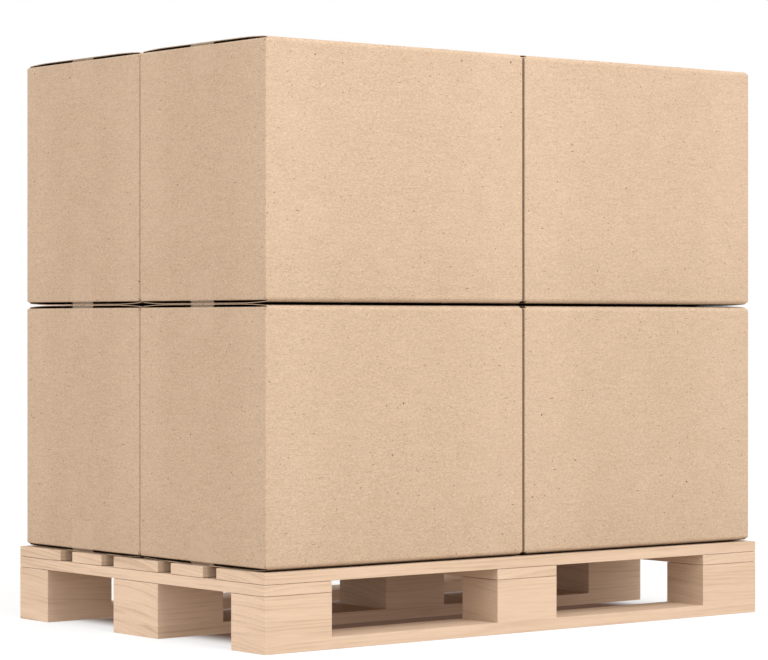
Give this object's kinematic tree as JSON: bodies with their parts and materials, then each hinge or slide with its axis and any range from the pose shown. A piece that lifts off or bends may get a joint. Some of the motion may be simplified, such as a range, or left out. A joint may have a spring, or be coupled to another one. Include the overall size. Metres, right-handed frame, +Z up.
{
  "type": "pallet load of taped cartons",
  "caption": "Plain brown cartons stacked in layers on a wooden four-way block pallet, each carton closed by tape along its seam and over its ends.",
  "frame": {"origin": "on the floor under the middle of the pallet", "axes": "+X along the pallet's length, which is also the cartons' length and the way their seams run; +Y across the pallet; +Z up"},
  "size_m": [1.2, 0.8, 1.0692],
  "materials": {
    "pine": "matte",
    "kraft_board": "matte",
    "clear_tape": "satin"
  },
  "bodies": {
    "root": {"deck_board_1": "pine", "deck_board_2": "pine", "deck_board_3": "pine", "deck_board_4": "pine", "deck_board_5": "pine", "base_board_1": "pine", "base_board_2": "pine", "base_board_3": "pine", "cross_board_1": "pine", "cross_board_2": "pine", "cross_board_3": "pine", "block_1_1": "pine", "block_1_2": "pine", "block_1_3": "pine", "block_2_1": "pine", "block_2_2": "pine", "block_2_3": "pine", "block_3_1": "pine", "block_3_2": "pine", "block_3_3": "pine", "carton_lower_1": "kraft_board", "carton_lower_2": "kraft_board", "carton_lower_3": "kraft_board", "carton_lower_4": "kraft_board", "carton_upper_1": "kraft_board", "carton_upper_2": "kraft_board", "carton_upper_3": "kraft_board", "carton_upper_4": "kraft_board", "top_tape_lower_1": "clear_tape", "bottom_tape_lower_1": "clear_tape", "top_tape_lower_2": "clear_tape", "bottom_tape_lower_2": "clear_tape", "top_tape_lower_3": "clear_tape", "bottom_tape_lower_3": "clear_tape", "top_tape_lower_4": "clear_tape", "bottom_tape_lower_4": "clear_tape", "top_tape_upper_1": "clear_tape", "bottom_tape_upper_1": "clear_tape", "top_tape_upper_2": "clear_tape", "bottom_tape_upper_2": "clear_tape", "top_tape_upper_3": "clear_tape", "bottom_tape_upper_3": "clear_tape", "top_tape_upper_4": "clear_tape", "bottom_tape_upper_4": "clear_tape"}
  },
  "joints": []
}
